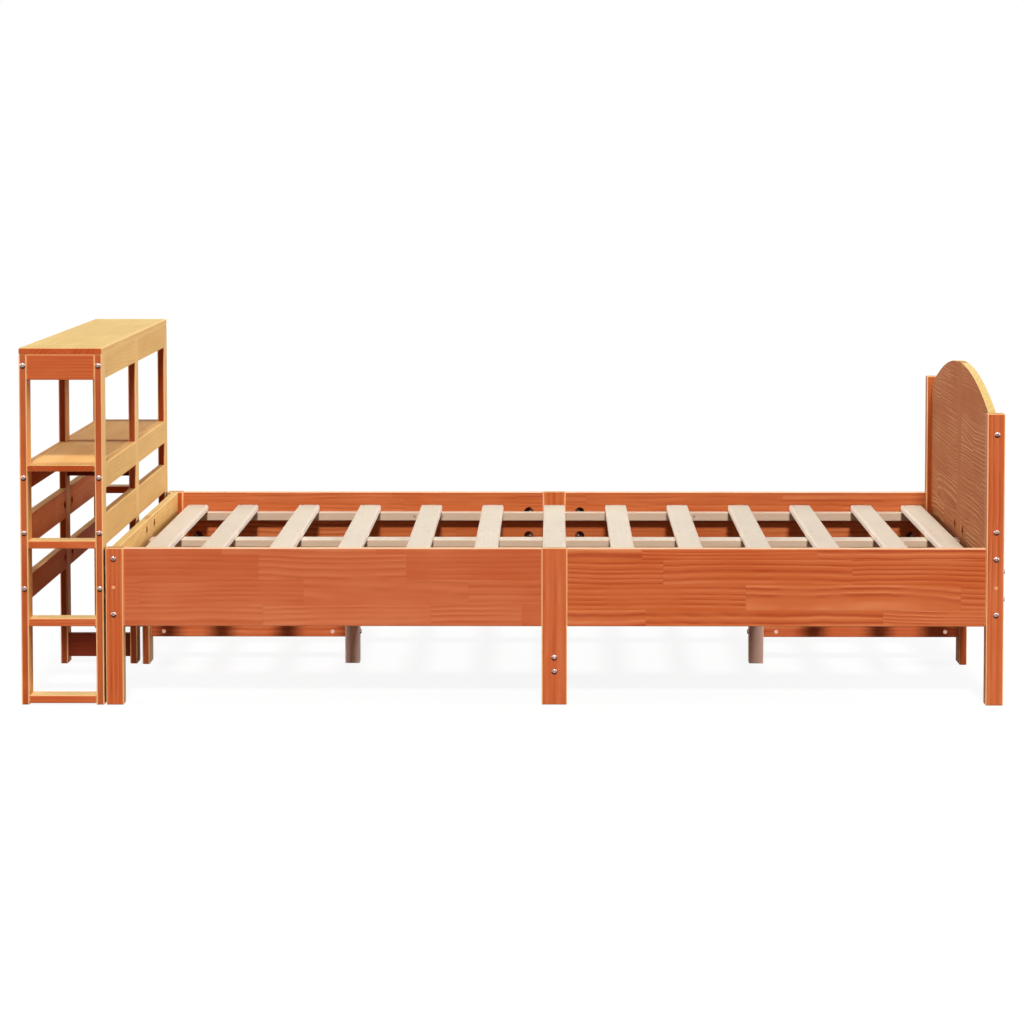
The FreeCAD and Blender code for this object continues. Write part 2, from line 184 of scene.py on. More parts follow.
knotPattern = {
    "squeeze": 0.62, "seedStep": 37.7,          # squeeze sets the knots further apart lengthwise
    "wobbleScale": 160.0, "wobble": 0.0012,     # metres
    "least": 0.45,                              # the smallest knot's share of the size
    "core": (0.65, 1.15), "swell": (0.4, 4.5),  # in the knot's own radii
}


def makeKnotsGroup():
    tree, given, result = newGroup(
        "knots",
        {"Along": 0.0, "Across": 0.0, "Seed": 0.0, "Spacing": 0.2, "Share": 0.2, "Size": 0.0035},
        {"Knot": "Float", "Swell": "Float"},
    )
    spacing = given["Spacing"]
    along = calc(tree, "MULTIPLY", given["Along"], knotPattern["squeeze"])
    place = joinVector(tree, along, given["Across"], 0.0)
    offset = calc(tree, "MULTIPLY", given["Seed"], knotPattern["seedStep"])
    offset = joinVector(tree, offset, offset, 0.0)
    moved = scaleVector(tree, place, calc(tree, "DIVIDE", 1.0, spacing))
    inputs = {"Vector": calcVector(tree, "ADD", moved, offset), "Scale": 1.0}
    cell = addNode(tree, "ShaderNodeTexVoronoi", inputs, voronoi_dimensions="2D").outputs
    chance = splitVector(tree, cell["Color"])
    wobble = noise(tree, place, knotPattern["wobbleScale"], detail=1.0)
    away = calc(tree, "MULTIPLY", cell["Distance"], spacing)
    away = calc(tree, "MULTIPLY_ADD", wobble, knotPattern["wobble"], away)
    size = calc(tree, "MULTIPLY", given["Size"], calc(tree, "ADD", knotPattern["least"], chance[1]))
    radii = calc(tree, "DIVIDE", away, size)
    isThere = calc(tree, "LESS_THAN", chance[0], given["Share"])
    plugAll(tree, {
        "Knot": calc(tree, "MULTIPLY", ramp(tree, radii, knotPattern["core"], falling), isThere),
        "Swell": calc(tree, "MULTIPLY", ramp(tree, radii, knotPattern["swell"], falling), isThere),
    }, result)
    return tree


# growth rings round a pith that lies outside each block

ringPattern = {
    "blockStep": 23.0,                                           # sets each block's noise apart
    "driftSqueeze": 1.6, "driftScale": 1.1, "driftAside": 1.6,   # slow bends of the rings
    "rippleSqueeze": 2.2, "rippleScale": 6.0, "ripple": 0.0035,  # quick ones, in metres
    "pithAside": 0.24, "pithGap": 0.09,     # metres to the pith sideways, the share kept free
    "pithDepth": 0.03, "pithDeeper": 0.05,  # metres in depth at least, and up to this much more
    "knotBend": -0.004,                     # metres that the rings give way to a knot
    "leastWidth": 0.7, "moreWidth": 0.6,    # of the ring width
    "unevenScale": 0.45, "unevenYears": 1.6, "unevenStrength": 0.5,
    "lateRise": (0.45, 0.8), "lateFall": (0.84, 0.97),  # shares of a year
    "earlyRise": (0.0, 0.1), "earlyFall": (0.12, 0.4),
    "leastStrength": 0.55, "moreStrength": 0.6,
    "fadeScale": 7.0, "fade": (0.3, 0.65), "faded": (0.4, 1.2),  # fainter along some stretches
}


def makeRingsGroup():
    tree, given, result = newGroup(
        "growthRings",
        {"Along": 0.0, "Across": 0.0, "Through": 0.0, "Scatter": (0.5, 0.5, 0.5), "Swell": 0.0,
         "Ring Width": 0.006, "Wander": 0.04},
        {"Late Wood": "Float", "Early Line": "Float", "Strength": "Float"},
    )
    look = ringPattern
    across, through = given["Across"], given["Through"]
    scatter = splitVector(tree, given["Scatter"])
    shift = scaleVector(tree, given["Scatter"], look["blockStep"])

    def grainPlace(squeeze):
        along = calc(tree, "MULTIPLY", given["Along"], squeeze)
        return calcVector(tree, "ADD", joinVector(tree, along, across, through), shift)

    slow = grainPlace(look["driftSqueeze"])
    drift = swing(tree, noise(tree, slow, look["driftScale"], detail=1.0), given["Wander"])
    quick = grainPlace(look["rippleSqueeze"])
    ripple = swing(tree, noise(tree, quick, look["rippleScale"]), look["ripple"])

    # how far the pith lies from this point, sideways and in depth
    offCentre = calc(tree, "SUBTRACT", scatter[0], 0.5)
    side = calc(tree, "SIGN", offCentre)
    offCentre = calc(tree, "MULTIPLY_ADD", side, look["pithGap"], offCentre)
    aside = calc(tree, "MULTIPLY_ADD", offCentre, look["pithAside"], across)
    aside = calc(tree, "MULTIPLY_ADD", drift, look["driftAside"], aside)
    depth = calc(tree, "MULTIPLY_ADD", scatter[1], look["pithDeeper"], look["pithDepth"])
    depth = calc(tree, "ADD", drift, calc(tree, "ADD", through, depth))
    squares = [calc(tree, "MULTIPLY", reach, reach) for reach in (aside, depth)]
    radius = calc(tree, "ADD", calc(tree, "SQRT", calc(tree, "ADD", *squares)), ripple)
    radius = calc(tree, "MULTIPLY_ADD", given["Swell"], look["knotBend"], radius)

    width = calc(tree, "MULTIPLY_ADD", scatter[2], look["moreWidth"], look["leastWidth"])
    years = calc(tree, "DIVIDE", radius, calc(tree, "MULTIPLY", given["Ring Width"], width))
    uneven = joinVector(tree, years, scatter[2], 0.0)
    uneven = noise(tree, uneven, look["unevenScale"], detail=1.0)
    year = calc(tree, "FRACT", calc(tree, "MULTIPLY_ADD", uneven, look["unevenYears"], years))
    lateRise, earlyRise = [ramp(tree, year, look[name]) for name in ("lateRise", "earlyRise")]
    lateFall, earlyFall = [
        ramp(tree, year, look[name], falling) for name in ("lateFall", "earlyFall")]
    strength = calc(tree, "MULTIPLY_ADD", scatter[0], look["moreStrength"], look["leastStrength"])
    uneven = calc(tree, "ADD", uneven, look["unevenStrength"])
    strength = calc(tree, "MULTIPLY", strength, uneven)
    fade = ramp(tree, noise(tree, slow, look["fadeScale"], detail=1.0), look["fade"], look["faded"])
    plugAll(tree, {
        "Late Wood": calc(tree, "MULTIPLY", lateRise, lateFall),
        "Early Line": calc(tree, "MULTIPLY", earlyRise, earlyFall),
        "Strength": calc(tree, "MULTIPLY", strength, fade),
    }, result)
    return tree


# where a face looks: masks for the painted light on the top, foot, head and near sides, for ends,
# for pale edges (partly wear, partly painted highlight) and for the painted shade in pockets

facingLimits = {
    "top": (0.3, 0.9), "foot": (0.3, 0.9), "head": (-0.3, -0.9), "front": (-0.2, -0.6),
    "end": (0.75, 0.97), "rounded": (0.84, 0.985),
    "below": (-0.6, -0.2), "belowEdgeShare": (0.25, 1.0),          # edges that look down take less of the pale edge colour
    "skin": (0.0022, 0.0034), "edgeBand": (0.00168, 0.0028),  # metres in from face and edge
    "sunk": (0.0024, 0.0029), "pocketEdge": (0.003, 0.004),   # the same, for pockets and bores
}


def makeFacingGroup():
    tree, given, result = newGroup(
        "facing",
        {"Grain Axis": (1.0, 0.0, 0.0), "Across": 0.0, "Through": 0.0, "Half Width": 0.02,
         "Half Thickness": 0.009, "Low Edge": 1.0, "High Edge": 1.0},
        {"Top": "Float", "Foot Side": "Float", "Head Side": "Float", "Front": "Float",
         "End": "Float", "Arris": "Float", "Pocket": "Float"},
    )
    limits = facingLimits
    normal = addNode(tree, "ShaderNodeTexCoord").outputs["Normal"]
    toX, toY, toZ = splitVector(tree, normal)
    endTurn = calc(tree, "ABSOLUTE", calcVector(tree, "DOT_PRODUCT", normal, given["Grain Axis"]))
    sizes = splitVector(tree, calcVector(tree, "ABSOLUTE", normal))
    largest = calc(tree, "MAXIMUM", calc(tree, "MAXIMUM", sizes[0], sizes[1]), sizes[2])
    inside = calc(tree, "ABSOLUTE", given["Through"])
    inside = calc(tree, "SUBTRACT", given["Half Thickness"], inside)
    nearFace = ramp(tree, inside, limits["skin"], falling)
    toHigh = calc(tree, "SUBTRACT", given["Half Width"], given["Across"])
    toLow = calc(tree, "ADD", given["Half Width"], given["Across"])
    edges = [
        calc(tree, "MULTIPLY", ramp(tree, distance, limits["edgeBand"], falling), given[name])
        for distance, name in ((toHigh, "High Edge"), (toLow, "Low Edge"))]
    edge = calc(tree, "MULTIPLY", calc(tree, "MAXIMUM", *edges), nearFace)
    # rounded edges take the pale edge colour, partly wear and partly painted highlight
    rounded = ramp(tree, largest, limits["rounded"], falling)
    worn = calc(tree, "MULTIPLY", rounded, nearFace)
    worn = calc(tree, "MULTIPLY", worn, ramp(tree, toZ, limits["below"], limits["belowEdgeShare"]))
    clear = [ramp(tree, distance, limits["pocketEdge"]) for distance in (toHigh, toLow)]
    sunk = ramp(tree, inside, limits["sunk"])
    plugAll(tree, {
        "Top": ramp(tree, toZ, limits["top"]),
        "Foot Side": ramp(tree, toX, limits["foot"]),
        "Head Side": ramp(tree, toX, limits["head"]),
        "Front": ramp(tree, toY, limits["front"]),
        "End": ramp(tree, endTurn, limits["end"]),
        "Arris": calc(tree, "MAXIMUM", worn, edge),
        "Pocket": calc(tree, "MULTIPLY", sunk, calc(tree, "MINIMUM", *clear)),
    }, result)
    return tree


blocksGroup = makeBlocksGroup()
knotsGroup = makeKnotsGroup()
ringsGroup = makeRingsGroup()
facingGroup = makeFacingGroup()


# the two finishes; a look that a finish or a cut leaves out is the stained pine's

stainedPine = {
    "bump": 0.2, "specular": 0.35,
    "look": {
        # the top, foot and head lighting colours are painted light and shade by the way a face
        # looks: gold lit tops and foot sides, brown shaded head sides
        "Side Color": "ce6634", "Top Lighting Color": "d1b16c", "Foot Lighting Color": "dfb470",
        # the arris colours paint pale edges, partly worn stain and partly painted highlight
        "Head Lighting Color": "a8633a", "Arris Color": "f8b87c", "Gold Arris": "edc888",
        "Late Tint": "dfbfa6", "Knot Tint": "a87a68", "End Tint": "e6d2c4",
        # painted shade inside the pockets; white leaves the stain as it is
        "Pocket Shade Tint": "ffffff",
        "Ring Contrast": 0.8, "Block Contrast": 0.07, "Blotch": 0.16, "Streak": 0.1,
        "Early Light": 0.14, "Smooth Gold": 0.6, "Wander": 0.03, "Roughness": 0.66,
        "Low Edge": 1.0, "High Edge": 1.0,
    },
}

naturalPine = {
    "bump": 0.25, "specular": 0.3,
    "look": {
        # the slats' foot and head sides are painted light, brighter than their tops
        "Side Color": "cdb49a", "Top Lighting Color": "dacfbb", "Foot Lighting Color": "fff4e4",
        "Head Lighting Color": "fff2e0", "Arris Color": "f0d4be", "Gold Arris": "e6d2be",
        "Late Tint": "ead8c2", "Knot Tint": "c09a7c", "End Tint": "e4d2bc",
        "Ring Contrast": 0.12, "Block Contrast": 0.04, "Blotch": 0.15, "Streak": 0.04,
        "Smooth Gold": 0.0, "Roughness": 0.72, "Low Edge": 0.0, "High Edge": 0.0,
    },
}


# a pine board: its position runs along, across and through the board from the middle

boardPattern = {
    "fibreSqueeze": (0.05, 1.0, 1.0), "fibreScale": 420.0, "fibreDetail": 3.0, "fibreRough": 0.65,
    "streakScale": 90.0, "blotchSqueeze": (0.35, 1.0, 1.0), "blotchScale": 14.0,
    "fibreLight": 0.08, "jointLight": -0.025,
    "hueTurn": 0.04, "paling": -0.3,              # light wood is yellower and paler
    "edgeBlotch": (0.2, 0.5), "edgeWearAndHighlight": (0.7, 1.0),
    "lateGloss": -0.06, "fibreGloss": 0.2, "endGloss": 0.1,
    "lateHeight": 0.35, "fibreHeight": 0.5, "jointHeight": -0.5, "bumpDepth": 0.0006,
    "seedStep": 0.137, "seedSpan": 5,
}


def makeBoardGroup():
    tree, given, result = newGroup(
        "pineBoard",
        {"Position": (0.0, 0.0, 0.0), "Grain Axis": (1.0, 0.0, 0.0), "Seed": 0.0,
         "Half Width": 0.02, "Half Thickness": 0.009, "Strip Width": 0.06, "Block Length": 0.4,
         "Ring Width": 0.006, "Knot Share": 0.15, **stainedPine["look"]},
        {"Color": "Color", "Roughness": "Float", "Height": "Float"},
    )
    pattern = boardPattern
    along, across, through = splitVector(tree, given["Position"])
    blocks = useGroup(tree, blocksGroup, {
        "Along": along, "Across": across, **passOn(given, "Seed", "Strip Width", "Block Length"),
    })
    knots = useGroup(tree, knotsGroup, {
        "Along": along, "Across": across, "Seed": given["Seed"], "Share": given["Knot Share"],
    })
    rings = useGroup(tree, ringsGroup, {
        "Along": along, "Across": calc(tree, "SUBTRACT", across, blocks["Strip Middle"]),
        "Through": through, "Scatter": blocks["Scatter"], "Swell": knots["Swell"],
        **passOn(given, "Ring Width", "Wander"),
    })
    facing = useGroup(tree, facingGroup, {
        "Across": across, "Through": through,
        **passOn(given, "Grain Axis", "Half Width", "Half Thickness", "Low Edge", "High Edge"),
    })
    seeded = joinVector(tree, given["Seed"], given["Seed"], 0.0)
    seeded = calcVector(tree, "ADD", given["Position"], seeded)
    fibrePlace = calcVector(tree, "MULTIPLY", seeded, pattern["fibreSqueeze"])
    blotchPlace = calcVector(tree, "MULTIPLY", seeded, pattern["blotchSqueeze"])
    fibre = noise(
        tree, fibrePlace, pattern["fibreScale"], pattern["fibreDetail"], pattern["fibreRough"])
    streak = noise(tree, fibrePlace, pattern["streakScale"])
    blotch = noise(tree, blotchPlace, pattern["blotchScale"])

    # the stain on the near sides, with painted light and shade by where the face looks (lit tops
    # and foot sides, shaded head sides), then the late wood's darker rings
    color = blendColor(tree, facing["Head Side"], given["Side Color"], given["Head Lighting Color"])
    color = blendColor(tree, facing["Foot Side"], color, given["Foot Lighting Color"])
    color = blendColor(tree, facing["Top"], color, given["Top Lighting Color"])
    # the rings are calmer on the tops and foot sides, where light is painted
    litSides = calc(tree, "MAXIMUM", facing["Top"], facing["Foot Side"])
    calm = calc(tree, "SUBTRACT", 1.0, calc(tree, "MULTIPLY", litSides, given["Smooth Gold"]))
    contrast = calc(tree, "MULTIPLY", given["Ring Contrast"], rings["Strength"])
    contrast = calc(tree, "MULTIPLY", contrast, calm)
    late = calc(tree, "MULTIPLY", rings["Late Wood"], contrast, clamp=True)
    color = blendColor(tree, late, color, given["Late Tint"], "MULTIPLY")

    # lighter and darker wood
    light = swing(tree, blocks["Tone"], given["Block Contrast"], 1.0)
    light = swing(tree, blotch, given["Blotch"], light)
    light = swing(tree, streak, given["Streak"], light)
    light = swing(tree, fibre, pattern["fibreLight"], light)
    early = calc(tree, "MULTIPLY", rings["Early Line"], contrast)
    light = calc(tree, "MULTIPLY_ADD", early, given["Early Light"], light)
    light = calc(tree, "MULTIPLY_ADD", blocks["Joint"], pattern["jointLight"], light)
    lighter = calc(tree, "SUBTRACT", light, 1.0)
    color = addNode(tree, "ShaderNodeHueSaturation", {
        "Hue": calc(tree, "MULTIPLY_ADD", lighter, pattern["hueTurn"], 0.5),
        "Saturation": calc(tree, "MULTIPLY_ADD", lighter, pattern["paling"], 1.0),
        "Value": light, "Color": color,
    }).outputs[0]

    # knots, ends, painted shade in pockets, and pale edges that are partly wear and partly painted
    # highlight
    color = blendColor(tree, knots["Knot"], color, given["Knot Tint"], "MULTIPLY")
    color = blendColor(tree, facing["End"], color, given["End Tint"], "MULTIPLY")
    color = blendColor(tree, facing["Pocket"], color, given["Pocket Shade Tint"], "MULTIPLY")
    edgeWearAndHighlight = ramp(tree, blotch, pattern["edgeBlotch"], pattern["edgeWearAndHighlight"])
    edgeWearAndHighlight = calc(tree, "MULTIPLY", facing["Arris"], edgeWearAndHighlight)
    edgeColor = blendColor(tree, facing["Front"], given["Gold Arris"], given["Arris Color"])

    rough = calc(
        tree, "MULTIPLY_ADD", rings["Late Wood"], pattern["lateGloss"], given["Roughness"])
    rough = swing(tree, fibre, pattern["fibreGloss"], rough)
    height = calc(tree, "MULTIPLY", fibre, pattern["fibreHeight"])
    height = calc(tree, "MULTIPLY_ADD", rings["Late Wood"], pattern["lateHeight"], height)
    plugAll(tree, {
        "Color": blendColor(tree, edgeWearAndHighlight, color, edgeColor),
        "Roughness": calc(tree, "MULTIPLY_ADD", facing["End"], pattern["endGloss"], rough),
        "Height": calc(tree, "MULTIPLY_ADD", blocks["Joint"], pattern["jointHeight"], height),
    }, result)
    return tree


boardGroup = makeBoardGroup()


def boardMaterial(name, cut):
    finish = cut.get("finish", stainedPine)
    low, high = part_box(name)
    middle, half = (low + high) / 2, (high - low) / 2
    order = ["xyz".index(axis) for axis in cut["axes"]]
    grainAxis = tuple(float(n == order[0]) for n in range(3))
    seed = sum(map(ord, name)) * boardPattern["seedStep"] % boardPattern["seedSpan"]
    material, tree = newMaterial(name + "Pine")
    place = addNode(tree, "ShaderNodeTexCoord").outputs["Object"]
    parts = splitVector(tree, calcVector(tree, "SUBTRACT", place, tuple(middle)))
    board = useGroup(tree, boardGroup, {
        "Position": joinVector(tree, *[parts[n] for n in order]),
        "Grain Axis": grainAxis, "Seed": seed, "Half Width": half[order[1]],
        "Half Thickness": cut.get("halfThickness", half[order[2]]),
        "Strip Width": cut["strip"], "Block Length": cut["block"], "Ring Width": cut["ring"],
        "Knot Share": cut["knots"], **finish["look"], **cut.get("look", {}),
    })
    bump = addNode(tree, "ShaderNodeBump", {
        "Height": board["Height"], "Strength": finish["bump"],
        "Distance": boardPattern["bumpDepth"],
    })
    plugAll(tree, {
        "Base Color": board["Color"], "Roughness": board["Roughness"], "Normal": bump.outputs[0],
        "Specular IOR Level": cut.get("specular", finish["specular"]),
    }, tree.nodes["Principled BSDF"].inputs)
    return material


# what several cuts share: axes says which way a board's length, width and thickness run, strip,
# block and ring are in metres, knots is the share of places that have one

sideRail = {"axes": "xzy", "strip": 0.058}
panelBoard = {"axes": "yzx", "strip": 0.062, "block": 0.5, "knots": 0.10, "specular": 0.15}
post = {"axes": "zxy", "strip": 1.0, "block": 3.0, "ring": 0.015, "knots": 0.05, "specular": 0.25}
bookcasePost = {**post, "axes": "zyx", "ring": 0.014}
bookcaseRail = {"axes": "yzx", "strip": 0.058, "block": 0.5, "ring": 0.0075, "specular": 0.15}
shelf = {
    "axes": "yxz", "strip": 0.048, "block": 0.4, "ring": 0.008, "knots": 0.05, "specular": 0.15,
}
lowBrace = {"strip": 0.2, "block": 0.5, "ring": 0.010, "knots": 0.05, "look": {"Low Edge": 0.0}}
support = {"finish": naturalPine, "strip": 1.0, "block": 0.9, "ring": 0.007, "knots": 0.05}

darkEdges = {"Low Edge": 0.0, "High Edge": 0.0}
mattPanel = {**darkEdges, "Roughness": 0.8}
# painted shade in the rails' pockets; the near rails' top and top edge are painted lit
railLook = {"Low Edge": 0.0, "Pocket Shade Tint": "7a4a3a"}
nearRailLook = {
    **railLook, "Top Lighting Color": "e6b88c", "Arris Color": "fdc09c", "Block Contrast": 0.1,
}
footPanelLook = {**mattPanel, "Arris Color": "c98a52", "Smooth Gold": 0.75, "Wander": 0.022}
postLook = {"Ring Contrast": 0.7, "Streak": 0.25, "Wander": 0.012}
# painted shade: the mid and far bookcase posts sit under the top board
shadedPostLook = {"Side Color": "a8481e", "Ring Contrast": 0.5, "Wander": 0.012}

# every board's cut, by how its node's name starts: the first that fits counts

# in the looks, the top, foot and head lighting colours are painted light and shade, and the pocket
# tints are painted shade
boardCuts = {
    "side_rail_far_": {
        **sideRail, "block": 0.42, "ring": 0.011, "knots": 0.10,
        "look": {**railLook, "Side Color": "bc602b", "Top Lighting Color": "ecc4a0",
                 "Arris Color": "fdccae", "Ring Contrast": 0.7, "Streak": 0.2, "Wander": 0.024}},
    "side_rail_near_head": {
        **sideRail, "block": 0.34, "ring": 0.0105, "knots": 0.0,
        "look": {**nearRailLook, "Side Color": "cb6739", "Ring Contrast": 0.45, "Blotch": 0.24,
                 "Wander": 0.022}},
    "side_rail_near_foot": {
        **sideRail, "block": 0.45, "ring": 0.0115, "knots": 0.08,
        "look": {**nearRailLook, "Side Color": "cd6630", "Ring Contrast": 1.15, "Blotch": 0.2,
                 "Wander": 0.028}},
    "head_board_": {
        **panelBoard, "ring": 0.0085, "specular": 0.2,
        "look": {**darkEdges, "Foot Lighting Color": "e6b86e", "Pocket Shade Tint": "8a6a50"}},
    "foot_arch_": {
        **panelBoard, "ring": 0.0085,
        "look": {**footPanelLook, "Top Lighting Color": "dcc07a", "Head Lighting Color": "a66236",
                 "Ring Contrast": 0.7, "Early Light": 0.5, "Blotch": 0.3}},
    "foot_board_": {
        **panelBoard, "ring": 0.0095,
        "look": {**footPanelLook, "Head Lighting Color": "a66436", "Early Light": 0.6, "Blotch": 0.26}},
    "foot_centre_stile": {
        "axes": "zyx", "strip": 1.0, "block": 0.9, "ring": 0.007, "knots": 0.05, "specular": 0.15,
        "look": {**mattPanel, "Head Lighting Color": "a86436", "Gold Arris": "9a5c34", "Blotch": 0.26}},
    ("head_post_far", "foot_post_far", "mid_leg_far"): {
        **post, "look": {**postLook, "Side Color": "bc5e2a", "Streak": 0.35}},
    ("head_post_", "foot_post_"): {**post, "look": postLook},
    "mid_leg_": {**post, "ring": 0.02, "look": {**postLook, "Ring Contrast": 0.5, "Wander": 0.01}},
    "head_centre_leg": {"axes": "zyx", "strip": 1.0, "block": 0.9, "ring": 0.008, "knots": 0.05},
    # painted light: the near back post's foot side is painted bright gold
    "bookcase_post_back_near": {
        **bookcasePost,
        "look": {**postLook, "Side Color": "c05e2e", "Foot Lighting Color": "ffbe6c", "Ring Contrast": 0.6}},
    "bookcase_post_front_near": {
        **bookcasePost, "look": {**postLook, "Side Color": "bc5a2a", "Ring Contrast": 0.6}},
    # painted shade on the mid and far back posts' foot sides
    "bookcase_post_back_": {
        **bookcasePost, "ring": 0.012, "specular": 0.2,
        "look": {**shadedPostLook, "Foot Lighting Color": "d4904a", "Gold Arris": "d8a058"}},
    "bookcase_post_": {**bookcasePost, "ring": 0.012, "specular": 0.2, "look": shadedPostLook},
    "bookcase_rails_front": {
        **bookcaseRail, "knots": 0.08,
        "look": {**mattPanel, "Top Lighting Color": "e0ac64", "Ring Contrast": 0.5}},
    # painted shade on the back rails' foot sides
    "bookcase_rails_back": {
        **bookcaseRail, "knots": 0.2,
        "look": {**mattPanel, "Top Lighting Color": "dca45c", "Foot Lighting Color": "c66c38", "Blotch": 0.35}},
    "bookcase_top": {
        **shelf, "look": {"End Tint": "f6e8dc", "Ring Contrast": 0.5, "Roughness": 0.8}},
    "bookcase_shelf_": {
        **shelf, "look": {"Top Lighting Color": "e6b26a", "Arris Color": "e4c47e", "Ring Contrast": 0.5,
                          "Roughness": 0.8}},
    ("bookcase_near_rungs", "bookcase_far_rungs"): {
        "axes": "xyz", "strip": 0.3, "block": 0.6, "ring": 0.008, "knots": 0.0, "specular": 0.2,
        "halfThickness": 0.0,
        "look": {**darkEdges, "Top Lighting Color": "fcd890", "Ring Contrast": 0.5}},
    # painted shade: the middle boards and their edges sit deep inside the bookcase
    "bookcase_mid_boards": {
        "axes": "xzy", "strip": 0.058, "block": 0.6, "ring": 0.008, "knots": 0.0, "specular": 0.15,
        "look": {**darkEdges, "Side Color": "86341a", "Top Lighting Color": "9a5a34",
                 "Arris Color": "8a4422", "Gold Arris": "8a4422", "Ring Contrast": 0.4}},
    "low_brace_": {**lowBrace, "axes": "xzy"},
    "low_cross_brace": {**lowBrace, "axes": "yzx"},
    "slat_": {
        "finish": naturalPine,
        "axes": "yxz", "strip": 1.0, "block": 1.1, "ring": 0.008, "knots": 0.10},
    "side_cleats_": {**support, "axes": "xzy", "look": {"Side Color": "cbb199"}},
    "centre_beam": {**support, "axes": "xyz"},
    # painted shade and a pink cast painted for light thrown back by the stained wood; the foot leg
    # is painted darker
    "support_leg_foot": {**support, "axes": "zxy", "knots": 0.0, "look": {"Side Color": "deb6a4"}},
    "support_leg_": {**support, "axes": "zxy", "knots": 0.0, "look": {"Side Color": "ffdccc"}},
}

for name in sorted(nodes):
    fitting = [cut for start, cut in boardCuts.items() if name.startswith(start)]
    if fitting:
        dress(name, boardMaterial(name, fitting[0]))
print("boards dressed:", len(bpy.data.materials), "materials")


# dowels: pale plugs with end grain

dowelLook = {
    "inner": "ffc188", "outer": "e99b5b", "rings": (0.35, 0.65),
    "squeeze": (1.0, 0.06, 1.0), "scale": 900.0,
    "grain": (0.2, 0.8), "roughness": (0.5, 0.7),
}


def dowelMaterial():
    material, tree = newMaterial("dowelPine")
    place = addNode(tree, "ShaderNodeTexCoord").outputs["Object"]
    place = calcVector(tree, "MULTIPLY", place, dowelLook["squeeze"])
    grain = noise(tree, place, dowelLook["scale"])
    rings = ramp(tree, grain, dowelLook["rings"])
    plugAll(tree, {
        "Base Color": blendColor(tree, rings, dowelLook["inner"], dowelLook["outer"]),
        "Roughness": ramp(tree, grain, dowelLook["grain"], dowelLook["roughness"]),
    }, tree.nodes["Principled BSDF"].inputs)
    return material


dress("dowels", dowelMaterial())


# fasteners: nickel-plated steel with fine turning marks, and painted shade and painted reflection
# of the wood on faces that look down

steelLooks = {
    "bolts": {
        "bright": "c8aea6", "dull": "8e6e66", "under": "32120e",
        "roughness": (0.3, 0.42), "marks": 2600.0},
    "joining_rods": {
        "bright": "8d827e", "dull": "6a605d", "under": "6a4a40",
        "roughness": (0.3, 0.45), "marks": 2600.0},
    "nuts": {
        # painted shade: the nuts sunk in the rail pockets are dark reddish brown
        "bright": "7a4c3c", "dull": "5a3226", "under": "4a281e", "barrel": "e2b49e",
        "roughness": (0.35, 0.5), "marks": 1800.0},
    "screws": {
        "bright": "b4a89e", "dull": "8f847a", "under": "7a6a60",
        "roughness": (0.35, 0.5), "marks": 3000.0},
}

wearAndShadePattern = {
    "under": (-0.55, 0.15),        # faces that look down get painted shade and painted reflection of the wood
    "barrelHeight": (0.12, 0.14),  # metres: the barrel nuts, in the low braces, lie below this
    "marksDetail": 3.0, "marksRough": 0.6, "cloudScale": 0.09,
    "marksShare": 0.35, "cloudShare": 0.65, "worn": (0.4, 0.62),
    "bump": 0.15, "bumpDepth": 0.0001,
}


def makeWearAndShadeGroup():
    tree, given, result = newGroup(
        "metalWearAndShade",
        {"Scale": 1000.0, "Bright": "cccccc", "Dull": "959595", "Under Shade Color": "7c5a50",
         "Barrel Color": "cccccc", "Barrel Share": 0.0, "Low": 0.2, "High": 0.4},
        {"Color": "Color", "Roughness": "Float", "Height": "Float"},
    )
    pattern = wearAndShadePattern
    where = addNode(tree, "ShaderNodeTexCoord").outputs
    place = where["Object"]
    under = ramp(tree, splitVector(tree, where["Normal"])[2], pattern["under"], falling)
    marks = noise(tree, place, given["Scale"], pattern["marksDetail"], pattern["marksRough"])
    cloud = noise(tree, place, calc(tree, "MULTIPLY", given["Scale"], pattern["cloudScale"]))
    worn = calc(tree, "MULTIPLY", cloud, pattern["cloudShare"])
    worn = calc(tree, "MULTIPLY_ADD", marks, pattern["marksShare"], worn)
    worn = ramp(tree, worn, pattern["worn"])
    color = blendColor(tree, worn, given["Bright"], given["Dull"])
    color = blendColor(tree, under, color, given["Under Shade Color"])
    barrel = ramp(tree, splitVector(tree, place)[2], pattern["barrelHeight"], falling)
    barrel = calc(tree, "MULTIPLY", barrel, given["Barrel Share"])
    span = calc(tree, "SUBTRACT", given["High"], given["Low"])
    plugAll(tree, {
        "Color": blendColor(tree, barrel, color, given["Barrel Color"]),
        "Roughness": calc(tree, "MULTIPLY_ADD", worn, span, given["Low"]),
        "Height": marks,
    }, result)
    return tree


wearAndShadeGroup = makeWearAndShadeGroup()


def steelMaterial(name, look):
    material, tree = newMaterial(name + "Steel")
    low, high = look["roughness"]
    wearAndShade = useGroup(tree, wearAndShadeGroup, {
        "Scale": look["marks"], "Low": low, "High": high,
        "Bright": look["bright"], "Dull": look["dull"], "Under Shade Color": look["under"],
        "Barrel Color": look.get("barrel", look["bright"]), "Barrel Share": float("barrel" in look),
    })
    bump = addNode(tree, "ShaderNodeBump", {
        "Height": wearAndShade["Height"], "Strength": wearAndShadePattern["bump"],
        "Distance": wearAndShadePattern["bumpDepth"],
    })
    plugAll(tree, {
        "Base Color": wearAndShade["Color"], "Roughness": wearAndShade["Roughness"], "Normal": bump.outputs[0],
        "Metallic": 1.0,
    }, tree.nodes["Principled BSDF"].inputs)
    return material


for name, look in steelLooks.items():
    dress(name, steelMaterial(name, look))
print("fasteners dressed")


# floor and light

